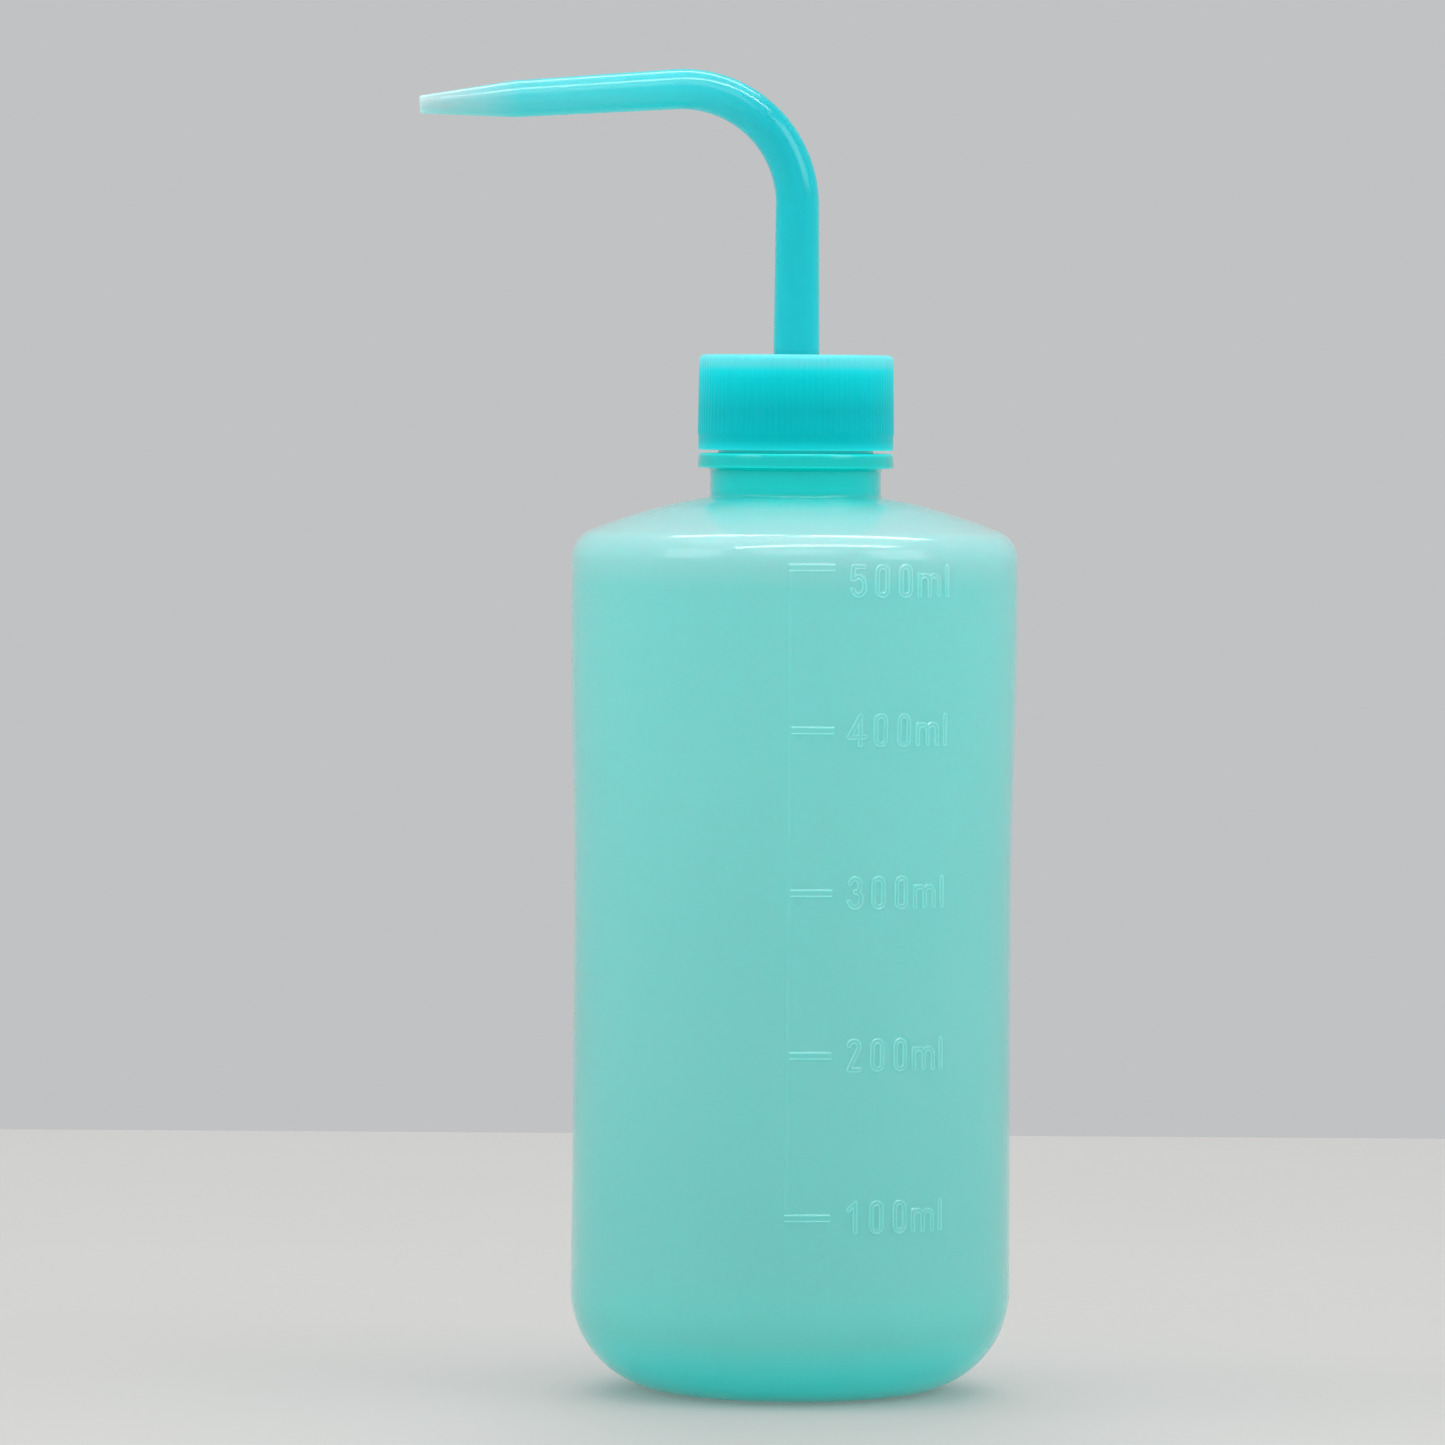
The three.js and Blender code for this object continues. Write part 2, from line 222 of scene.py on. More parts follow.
# Faces that meet at more than this many degrees keep a sharp edge between them
SHARP_ANGLE = 38.0

# ---- Profiles and meshes -----------------------------------------------------------------------


def arc(centre_radius, centre_height, radius, start, end, steps):
    """Points (radius, height) along an arc; 0 degrees points away from the axis."""
    angles = np.radians(np.linspace(start, end, steps + 1))
    return np.column_stack(
        [centre_radius + radius * np.cos(angles), centre_height + radius * np.sin(angles)]
    )


def line(start, end, steps=1):
    """Points (radius, height) along a straight stretch."""
    return np.linspace(start, end, steps + 1)


def joined(*stretches):
    """One profile from several, without the points that would repeat."""
    points = np.vstack(stretches)
    keep = np.ones(len(points), bool)
    keep[1:] = np.linalg.norm(np.diff(points, axis=0), axis=1) > 1e-4
    return points[keep]


def smooth(value, low, high):
    """0 below low, 1 above high, and a smooth step between them."""
    t = np.clip((value - low) / (high - low), 0, 1)
    return t * t * (3 - 2 * t)


def turned(profile, degrees):
    """The points of a profile carried round the axis, one row for each profile point."""
    angles = np.radians(degrees)
    radius = profile[:, :1]
    height = np.broadcast_to(profile[:, 1:], (len(profile), len(angles)))
    return np.dstack([radius * np.cos(angles), radius * np.sin(angles), height])


def ring_degrees(columns):
    """Angles of evenly spaced columns round the axis."""
    return np.arange(columns) * 360 / columns


def raise_points(grid, rise, degrees):
    """Move each point of a grid away from the axis by its rise."""
    angles = np.radians(degrees)
    grid[:, :, 0] += rise * np.cos(angles)
    grid[:, :, 1] += rise * np.sin(angles)


def grid_faces(rows, columns, closed):
    """Four-sided faces over a grid whose columns run round in a ring.

    Closed means that the last row of the grid joins the first as well.
    """
    row = np.arange(rows if closed else rows - 1)[:, None]
    column = np.arange(columns)[None, :]
    across = (column + 1) % columns
    up = (row + 1) % rows
    corners = (
        row * columns + column,
        row * columns + across,
        up * columns + across,
        up * columns + column,
    )
    return np.dstack(corners).reshape(-1, 4)


def solid_piece(name, grid, ends_on_axis):
    """A closed, smooth mesh from rows of points in millimetres.

    With ends_on_axis the first and the last row lie on the axis, and each becomes one point.
    Otherwise the last row joins the first, as on a ring or a tube with a bore.
    """
    rows, columns = grid.shape[:2]
    if ends_on_axis:
        inside = grid[1:-1]
        points = np.vstack([inside.reshape(-1, 3), grid[0, :1], grid[-1, :1]])
        faces = grid_faces(rows - 2, columns, False).tolist()
        first, last = len(points) - 2, len(points) - 1
        top = (rows - 3) * columns
        for i in range(columns):
            j = (i + 1) % columns
            faces.append([first, j, i])
            faces.append([last, top + i, top + j])
    else:
        points = grid.reshape(-1, 3)
        faces = grid_faces(rows, columns, True).tolist()
    mesh = bpy.data.meshes.new(name)
    mesh.from_pydata((points * MM).tolist(), [], faces)
    corners = points[np.array([face[:3] for face in faces])]
    normals = np.cross(corners[:, 1] - corners[:, 0], corners[:, 2] - corners[:, 0])
    outward = np.sum(normals * corners[:, 0])
    if outward < 0:
        mesh.flip_normals()
    mesh.shade_smooth()
    mesh.set_sharp_from_angle(angle=math.radians(SHARP_ANGLE))
    piece = bpy.data.objects.new(name, mesh)
    bpy.context.scene.collection.objects.link(piece)
    return piece


def thread_ridge(degrees, heights, start_height, start_degrees, turns):
    """How far a helical thread stands up at each height and angle, from 0 to 1."""
    ridge = np.zeros((len(heights), len(degrees)))
    for turn in range(math.ceil(turns) + 1):
        along = (degrees - start_degrees) % 360 + 360 * turn
        centre = start_height + PITCH * along / 360
        fade = np.clip(np.minimum(along, 360 * turns - along) / THREAD_FADE, 0, 1)
        off = np.abs(heights[:, None] - centre[None, :])
        flank = (THREAD_ROOT_WIDTH / 2 - off) / ((THREAD_ROOT_WIDTH - THREAD_CREST_WIDTH) / 2)
        ridge = np.maximum(ridge, np.clip(flank, 0, 1) * fade)
    return ridge


# ---- Graduation --------------------------------------------------------------------------------


def bow(centre_x, centre_y, radius_x, radius_y, start, end, steps=10):
    """Points along part of an ellipse, for the round stretches of a letter."""
    angles = np.radians(np.linspace(start, end, steps + 1))
    return [
        (centre_x + radius_x * math.cos(a), centre_y + radius_y * math.sin(a)) for a in angles
    ]


def letter_strokes():
    """Pen strokes of each letter, from its centre line, with the foot of the stroke at 0."""
    half = 0.85
    high = LETTER_HEIGHT - STROKE_WIDTH
    m_high = 0.73 * LETTER_HEIGHT - STROKE_WIDTH
    arch = 0.95
    return {
        "0": [
            bow(0, high - half, half, half, 0, 180)
            + bow(0, half, half, half, 180, 360)
            + [(half, high - half)]
        ],
        "1": [[(-0.75, high - 1.0), (0.35, high), (0.35, 0)]],
        "2": [bow(0, high - half, half, half, 170, -25) + [(-half, 0), (half, 0)]],
        "3": [
            bow(0, high - 1.1, half, 1.1, 160, -90),
            bow(0, 1.25, 1.05, 1.25, 90, -160),
        ],
        "4": [[(0.55, 0), (0.55, high), (-1.25, 1.25), (1.3, 1.25)]],
        "5": [[(half, high), (-0.8, high), (-0.95, 2.6)] + bow(0, 1.5, 1.05, 1.5, 130, -155)],
        "m": [
            [(-2 * arch, 0), (-2 * arch, m_high)],
            bow(-arch, m_high - arch, arch, arch, 180, 0) + [(0, 0)],
            bow(arch, m_high - arch, arch, arch, 180, 0) + [(2 * arch, 0)],
        ],
        "l": [[(0, 0), (0, high)]],
    }


def stroke_distance(u, z, points):
    """Distance from each place on the wall to a pen stroke."""
    nearest = np.full(u.shape, np.inf)
    for (x0, y0), (x1, y1) in zip(points, points[1:]):
        run_x, run_y = x1 - x0, y1 - y0
        share = ((u - x0) * run_x + (z - y0) * run_y) / (run_x**2 + run_y**2)
        share = np.clip(share, 0, 1)
        nearest = np.minimum(nearest, np.hypot(u - x0 - share * run_x, z - y0 - share * run_y))
    return nearest


def mark_height(index):
    """Height of the middle of a mark, counted from the lowest."""
    return LOWEST_MARK + index * MARK_STEP


def text_height(index):
    """Height of the middle of a volume's text; the highest hangs from its mark."""
    is_top = index == MARK_COUNT - 1
    return mark_height(index) - (TOP_TEXT_DROP if is_top else 0)


def graduation(u, z):
    """How far the wall stands out at arc length u and height z, and how much painted highlight it
    gets.

    The mould leaves each stroke highest along its edges, with a shallow valley between them. The
    marks have such an edge above and below, and none at their ends.
    """
    strokes = letter_strokes()
    top = MARK_COUNT - 1
    line_distance = np.abs(u - SCALE_LINE) - SCALE_LINE_WIDTH / 2
    line_distance[(z < mark_height(0)) | (z > mark_height(top))] = np.inf
    bar_distance = np.full(u.shape, np.inf)
    letter_distance = bar_distance.copy()
    for index in range(MARK_COUNT):
        left = END_MARK_LEFT if index in (0, top) else MARK_LEFT
        bar = np.abs(z - mark_height(index)) - MARK_HEIGHT / 2
        bar[(u < left) | (u > MARK_RIGHT)] = np.inf
        bar_distance = np.minimum(bar_distance, bar)
        foot = text_height(index) - LETTER_HEIGHT / 2 + STROKE_WIDTH / 2
        rows = np.abs(z[:, 0] - text_height(index)) < LETTER_HEIGHT
        text = f"{index + 1}00ml"
        for letter, centre in zip(text, (*DIGIT_CENTRES, M_CENTRE, L_CENTRE)):
            for points in strokes[letter]:
                near = stroke_distance(u[rows] - centre, z[rows] - foot, points)
                letter_distance[rows] = np.minimum(letter_distance[rows], near - STROKE_WIDTH / 2)
    half_edge = MARK_EDGE / 2
    heights = SCALE_LINE_PROUD * (1 - smooth(line_distance, -half_edge, half_edge))
    painted_highlight = np.zeros(u.shape)
    for distance, share in ((bar_distance, 1.0), (letter_distance, LETTER_HIGHLIGHT_SHARE)):
        edges = 1 - smooth(np.abs(distance + half_edge), 0, MARK_EDGE)
        stroke_heights = np.maximum(edges, MARK_VALLEY * (distance < -half_edge))
        heights = np.maximum(heights, MARK_PROUD * stroke_heights)
        painted_highlight = np.maximum(painted_highlight, share * edges)
    return heights, painted_highlight


# ---- Pieces ------------------------------------------------------------------------------------


def wall_radius(height):
    """Outer radius of the wall, drawn in a little at its waist."""
    down = np.clip((WAIST_HEIGHT - height) / (WAIST_HEIGHT - BASE_CORNER), 0, 1)
    below = WAIST_RADIUS + (FOOT_RADIUS - WAIST_RADIUS) * down**2
    above = (SHOULDER_RADIUS - WAIST_RADIUS) * smooth(height, WAIST_HEIGHT, WIDEST_HEIGHT)
    return below + above


def corner_of_dome():
    """Centre of the corner between wall and dome, and the direction in which the dome starts."""
    reach = DOME_RADIUS - DOME_CORNER
    radius = SHOULDER_RADIUS - DOME_CORNER
    height = DOME_CENTRE + math.sqrt(reach**2 - radius**2)
    return radius, height, math.degrees(math.acos(radius / reach))


def wall_heights():
    """Rows up the wall, close together where the graduation needs them.

    The close rows are counted from each mark, which gives all the marks the same edges.
    """
    corner_height = corner_of_dome()[1]
    heights = [BASE_CORNER]
    reach = LETTER_HEIGHT / 2 + MARK_EDGE
    for index in range(MARK_COUNT):
        mark = mark_height(index)
        low = text_height(index) - reach
        high = max(text_height(index) + reach, mark + MARK_HEIGHT / 2 + MARK_EDGE)
        high = min(high, corner_height)
        below = math.ceil((mark - low) / FINE_ROW)
        above = math.floor((high - mark) / FINE_ROW)
        fine = mark + FINE_ROW * np.arange(-below, above + 1)
        steps = math.ceil((fine[0] - heights[-1]) / COARSE_ROW)
        heights += list(np.linspace(heights[-1], fine[0], steps + 1)[1:-1])
        heights += list(fine)
    return np.array(heights)


def wall_degrees():
    """Columns round the bottle, close together over the graduation and the two mould seams."""
    per_mm = 360 / (2 * math.pi * WAIST_RADIUS)
    room = 0.5
    degrees = [side + off for side in (0, 180) for off in SEAM_COLUMNS]
    coarse = np.arange(0, 360, COARSE_DEGREES)
    for left, right in FINE_STRETCHES:
        low, high = FRONT_DEGREES + left * per_mm, FRONT_DEGREES + right * per_mm
        degrees += list(np.arange(low, high, FINE_COLUMN * per_mm))
        coarse = coarse[(coarse < low - room) | (coarse > high + room)]
    return np.array(sorted({round(a % 360, 4) for a in (*degrees, *coarse)}))


def inside_profile():
    """The bottle's inner wall from the neck's bore down to the middle of the base."""
    corner_radius, corner_height, dome_start = corner_of_dome()
    inner_dome = DOME_RADIUS - WALL
    bore_end = math.degrees(math.acos(NECK_BORE / inner_dome))
    wall_rows = np.linspace(corner_height, BASE_CORNER, 8)
    return joined(
        arc(0, DOME_CENTRE, inner_dome, bore_end, dome_start, 8),
        arc(corner_radius, corner_height, DOME_CORNER - WALL, dome_start, 0, 5),
        np.column_stack([wall_radius(wall_rows) - WALL, wall_rows]),
        arc(FOOT_RADIUS - BASE_CORNER, BASE_CORNER, BASE_CORNER - WALL, 0, -90, 8),
        line((RING_RADIUS, WALL), (RING_RADIUS - RECESS_SLOPE, WALL + RECESS_DEPTH)),
        line((PAD_RADIUS + RECESS_SLOPE, WALL + RECESS_DEPTH), (PAD_RADIUS, WALL)),
        [(0, WALL)],
    )


def outside_profile(wall_rows, thread_rows):
    """The bottle's outside from the middle of the base up to the neck's rim."""
    corner_radius, corner_height, dome_start = corner_of_dome()
    fillet_radius = NECK_RADIUS + NECK_FILLET
    fillet_height = DOME_CENTRE + math.sqrt((DOME_RADIUS + NECK_FILLET) ** 2 - fillet_radius**2)
    fillet_start = math.degrees(math.acos(fillet_radius / (DOME_RADIUS + NECK_FILLET)))
    thread = np.column_stack([np.full(len(thread_rows), NECK_THREAD_ROOT), thread_rows])
    collar_low = COLLAR_BOTTOM + COLLAR_RISE
    collar_foot_radius = NECK_RADIUS + COLLAR_FOOT
    edge_radius = COLLAR_RADIUS_BELOW - COLLAR_EDGE
    return joined(
        line((0, 0), (PAD_RADIUS, 0)),
        line(
            (PAD_RADIUS + RECESS_SLOPE, RECESS_DEPTH), (RING_RADIUS - RECESS_SLOPE, RECESS_DEPTH)
        ),
        line((RING_RADIUS, 0), (RING_RADIUS + RING_EDGE, 0)),
        arc(FOOT_RADIUS - BASE_CORNER, BASE_CORNER, BASE_CORNER, -90, 0, 20),
        np.column_stack([wall_radius(wall_rows), wall_rows]),
        arc(corner_radius, corner_height, DOME_CORNER, 0, dome_start, 14),
        arc(0, DOME_CENTRE, DOME_RADIUS, dome_start, fillet_start, 16),
        arc(fillet_radius, fillet_height, NECK_FILLET, 180 + fillet_start, 180, 6),
        line((NECK_RADIUS, COLLAR_BOTTOM - COLLAR_FOOT), (collar_foot_radius, COLLAR_BOTTOM), 2),
        line((edge_radius - COLLAR_RISE, collar_low), (edge_radius, collar_low)),
        arc(edge_radius, collar_low + COLLAR_EDGE, COLLAR_EDGE, -90, 0, 4),
        arc(COLLAR_RADIUS_ABOVE - COLLAR_EDGE, COLLAR_TOP - COLLAR_EDGE, COLLAR_EDGE, 0, 90, 4),
        line((NECK_THREAD_ROOT + FINE_CHAMFER, COLLAR_TOP), (NECK_THREAD_ROOT, COLLAR_TOP + 0.1)),
        thread,
        arc(NECK_THREAD_ROOT - RIM_EDGE, RIM_HEIGHT - RIM_EDGE, RIM_EDGE, 0, 90, 4),
        arc(NECK_BORE + RIM_EDGE, RIM_HEIGHT - RIM_EDGE, RIM_EDGE, 90, 180, 4),
    )


def make_bottle():
    """The bottle: a thin shell, open at its neck, with graduation, collar and thread."""
    degrees = wall_degrees()
    wall_rows = wall_heights()
    thread_rows = np.arange(COLLAR_TOP + 0.4, RIM_HEIGHT - RIM_EDGE, NECK_THREAD_ROW)
    outside = outside_profile(wall_rows, thread_rows)
    profile = joined(outside, inside_profile())
    grid = turned(profile, degrees)

    on_outside = np.arange(len(profile)) < len(outside)
    height = np.where(on_outside, profile[:, 1], 0)
    rise = np.zeros(grid.shape[:2])
    painted_highlight = np.zeros(grid.shape[:2])

    marked = on_outside & (height > BASE_CORNER) & (height < corner_of_dome()[1])
    arc_length = np.radians((degrees - FRONT_DEGREES + 180) % 360 - 180) * WAIST_RADIUS
    u, z = np.meshgrid(arc_length, height[marked])
    rise[marked], painted_highlight[marked] = graduation(u, z)

    seamed = on_outside & (height > SEAM_START) & (height < COLLAR_BOTTOM)
    off_seam = np.abs((degrees + 90) % 180 - 90)
    seam_width = math.degrees(SEAM_HALF_WIDTH / WAIST_RADIUS)
    seam = SEAM_PROUD * (1 - smooth(off_seam, 0, 2 * seam_width))
    rise[seamed] = np.maximum(rise[seamed], seam)

    threaded = on_outside & (height > COLLAR_TOP + 0.2) & (height < RIM_HEIGHT - RIM_EDGE / 2)
    ridge = thread_ridge(degrees, height[threaded], NECK_THREAD_START, 0, NECK_THREAD_TURNS)
    rise[threaded] = ridge * (NECK_THREAD_CREST - NECK_THREAD_ROOT)

    raise_points(grid, rise, degrees)
    bottle = solid_piece("bottle_moulding", grid, ends_on_axis=True)
    # the strokes' edges carry a painted highlight, stored on the mesh for the bottle's material
    layer = bottle.data.attributes.new(STROKE_HIGHLIGHT, "FLOAT", "POINT")
    layer.data.foreach_set("value", [*painted_highlight[1:-1].flat, 0, 0])
    return bottle


def make_cap():
    """The screw cap: ribbed outside down to a plain skirt, threaded inside."""
    bottom, top = cap_low[2], cap_high[2]
    degrees = ring_degrees(RIB_COUNT * RIB_COLUMNS)
    ribs_low = bottom + SKIRT_HEIGHT
    ribs_high = top - CAP_CORNER
    inner_top = top - CAP_PLATE
    inner_low = bottom + CAP_LEAD_IN_DEPTH + CAP_LEAD_IN_CONE
    thread_rows = np.arange(inner_top - 0.4, inner_low, -CAP_THREAD_ROW)

    def outer(height):
        return CAP_RADIUS_BELOW - CAP_TAPER * (height - bottom) / (top - bottom)

    foot_radius = outer(bottom) - SKIRT_STEP - CAP_FOOT_EDGE
    profile = joined(
        arc(foot_radius, bottom + CAP_FOOT_EDGE, CAP_FOOT_EDGE, -90, 0, 4),
        line((outer(ribs_low) - SKIRT_STEP, ribs_low - SKIRT_CONE), (outer(ribs_low), ribs_low)),
        [(outer(h), h) for h in np.linspace(ribs_low, ribs_high, 12)],
        arc(outer(top) - CAP_CORNER, ribs_high, CAP_CORNER, 0, 90, 8),
        line((CAP_HOLE + CHAMFER, top), (CAP_HOLE, top - CHAMFER)),
        line((CAP_HOLE, inner_top + FINE_CHAMFER), (CAP_HOLE + FINE_CHAMFER, inner_top)),
        line((CAP_THREAD_ROOT - CHAMFER, inner_top), (CAP_THREAD_ROOT, inner_top - CHAMFER)),
        np.column_stack([np.full(len(thread_rows), CAP_THREAD_ROOT), thread_rows]),
        line((CAP_THREAD_ROOT, inner_low), (CAP_LEAD_IN, bottom + CAP_LEAD_IN_DEPTH)),
        line((CAP_LEAD_IN, bottom + SKIRT_CONE), (CAP_LEAD_IN + SKIRT_CONE, bottom)),
    )
    grid = turned(profile, degrees)
    radius, height = profile[:, 0], profile[:, 1]
    rise = np.zeros(grid.shape[:2])

    # each rib is a low round ridge, and they all run out over the top corner
    across = (degrees * RIB_COUNT / 360) % 1 * 2 - 1
    outside = (radius > CAP_LEAD_IN + 0.3) & (height > ribs_low - 0.01)
    run_out = np.clip((top - height[outside]) / CAP_CORNER, 0, 1)
    rise[outside] = -RIB_DEPTH * np.outer(run_out, across**2)

    threaded = (radius == CAP_THREAD_ROOT) & (height < inner_top - 0.2)
    ridge = thread_ridge(
        degrees, height[threaded], CAP_THREAD_START, CAP_THREAD_LAG, CAP_THREAD_TURNS
    )
    rise[threaded] = ridge * (CAP_THREAD_CREST - CAP_THREAD_ROOT)

    raise_points(grid, rise, degrees)
    return solid_piece("screw_cap_moulding", grid, ends_on_axis=False)


def spout_foot():
    """Height of the flange's underside, which the boss hangs from."""
    return spout_low[2] + BOSS_LENGTH


def along_spout(distance):
    """Place x and z of the spout's centre line and its turn, at a distance from the foot."""
    rise = BEND_START - spout_foot()
    bend_length = math.radians(BEND_ANGLE) * BEND_RADIUS
    if distance <= rise:
        return 0.0, spout_foot() + distance, 0.0
    if distance <= rise + bend_length:
        angle = (distance - rise) / BEND_RADIUS
        x = BEND_RADIUS * (math.cos(angle) - 1)
        return x, BEND_START + BEND_RADIUS * math.sin(angle), angle
    angle = math.radians(BEND_ANGLE)
    beyond = distance - rise - bend_length
    x = BEND_RADIUS * (math.cos(angle) - 1) - beyond * math.sin(angle)
    z = BEND_START + BEND_RADIUS * math.sin(angle) + beyond * math.cos(angle)
    return x, z, angle


def make_spout():
    """The spout: boss, flange, bent tube and jet tip in one moulding, with its bore."""
    rise = BEND_START - spout_foot()
    bend_end = rise + math.radians(BEND_ANGLE) * BEND_RADIUS
    tip_start = bend_end + ARM_LENGTH
    tip_end = tip_start + TIP_LENGTH
    socket_top = SOCKET_DEPTH - BOSS_LENGTH

    def outer(distance):
        return np.interp(
            distance,
            (FLANGE_THICKNESS, rise, bend_end, tip_start, tip_end),
            (
                SPOUT_RADIUS_AT_CAP,
                SPOUT_RADIUS_AT_BEND,
                SPOUT_RADIUS_AFTER_BEND,
                SPOUT_RADIUS_AT_TIP,
                TIP_END_RADIUS,
            ),
        )

    # rows along the tube, close together round the bend and over the corner where the tip starts
    corner = 0.8
    tube = np.concatenate(
        [
            np.linspace(FLANGE_THICKNESS + 0.5, rise, 10),
            np.linspace(rise, bend_end, 49)[1:],
            np.linspace(bend_end, tip_start - corner, 12)[1:],
            np.linspace(tip_start - corner, tip_start + corner, 5)[1:],
            np.linspace(tip_start + corner, tip_end - FINE_CHAMFER, 10)[1:],
        ]
    )
    bore = tube[::-1]
    bore_radius = np.interp(bore, (tip_start, tip_end), (SPOUT_BORE, TIP_BORE))
    profile = joined(
        line((SOCKET_RADIUS + CHAMFER, -BOSS_LENGTH), (BOSS_RADIUS - BOSS_CHAMFER, -BOSS_LENGTH)),
        line((BOSS_RADIUS, BOSS_CHAMFER - BOSS_LENGTH), (BOSS_RADIUS, -CHAMFER), 3),
        line((BOSS_RADIUS + CHAMFER, 0), (FLANGE_RADIUS - FINE_CHAMFER, 0), 2),
        line((FLANGE_RADIUS, FINE_CHAMFER), (FLANGE_RADIUS, FLANGE_THICKNESS - FINE_CHAMFER)),
        line(
            (FLANGE_RADIUS - FINE_CHAMFER, FLANGE_THICKNESS),
            (SPOUT_RADIUS_AT_CAP + FLANGE_FILLET, FLANGE_THICKNESS),
        ),
        np.column_stack([outer(tube), tube]),
        line((TIP_END_RADIUS - FINE_CHAMFER, tip_end), (TIP_BORE + 0.1, tip_end)),
        np.column_stack([bore_radius, bore]),
        line((SPOUT_BORE, socket_top), (SOCKET_RADIUS, socket_top)),
        line((SOCKET_RADIUS, socket_top - CHAMFER), (SOCKET_RADIUS, CHAMFER - BOSS_LENGTH), 3),
    )
    angles = np.radians(ring_degrees(SPOUT_COLUMNS))
    grid = np.zeros((len(profile), len(angles), 3))
    for row, (radius, distance) in enumerate(profile):
        x, z, turn = along_spout(distance)
        out = radius * np.cos(angles)
        grid[row, :, 0] = x + out * math.cos(turn)
        grid[row, :, 1] = radius * np.sin(angles)
        grid[row, :, 2] = z + out * math.sin(turn)
    return solid_piece("spout_moulding", grid, ends_on_axis=False)


def make_dip_tube():
    """The dip tube, cut off at a slant above the base."""
    low, high = tube_low[2], tube_high[2]
    straight_from = low + TUBE_CUT_ROOM
    profile = joined(
        line((TUBE_BORE, low), (TUBE_RADIUS, low)),
        line((TUBE_RADIUS, straight_from), (TUBE_RADIUS, high - TUBE_EDGE), 12),
        line((TUBE_RADIUS - TUBE_EDGE, high), (TUBE_BORE + TUBE_EDGE, high)),
        line((TUBE_BORE, high - TUBE_EDGE), (TUBE_BORE, straight_from), 12),
    )
    grid = turned(profile, ring_degrees(TUBE_COLUMNS))
    slant = math.tan(math.radians(TUBE_CUT_ANGLE))
    for row in (0, 1):
        grid[row, :, 2] += (TUBE_RADIUS + grid[row, :, 0]) * slant
    return solid_piece("dip_tube_pipe", grid, ends_on_axis=False)


def make_washer():
    """The soft sealing ring under the spout's flange."""
    low, high, outer = washer_low[2], washer_high[2], washer_high[0]
    edge = WASHER_EDGE
    profile = joined(
        arc(outer - edge, low + edge, edge, -90, 0, 3),
        arc(outer - edge, high - edge, edge, 0, 90, 3),
        arc(WASHER_INNER + edge, high - edge, edge, 90, 180, 3),
        arc(WASHER_INNER + edge, low + edge, edge, 180, 270, 3),
    )
    grid = turned(profile, ring_degrees(WASHER_COLUMNS))
    return solid_piece("washer_ring", grid, ends_on_axis=False)


# ---- Materials ---------------------------------------------------------------------------------


def linear(red, green, blue):
    """A colour given as it looks on a screen, from 0 to 255, as the linear one shaders take."""
    shares = np.array([red, green, blue]) / 255
    low = shares / 12.92
    high = ((shares + 0.055) / 1.055) ** 2.4
    return (*np.where(shares <= 0.04045, low, high), 1.0)


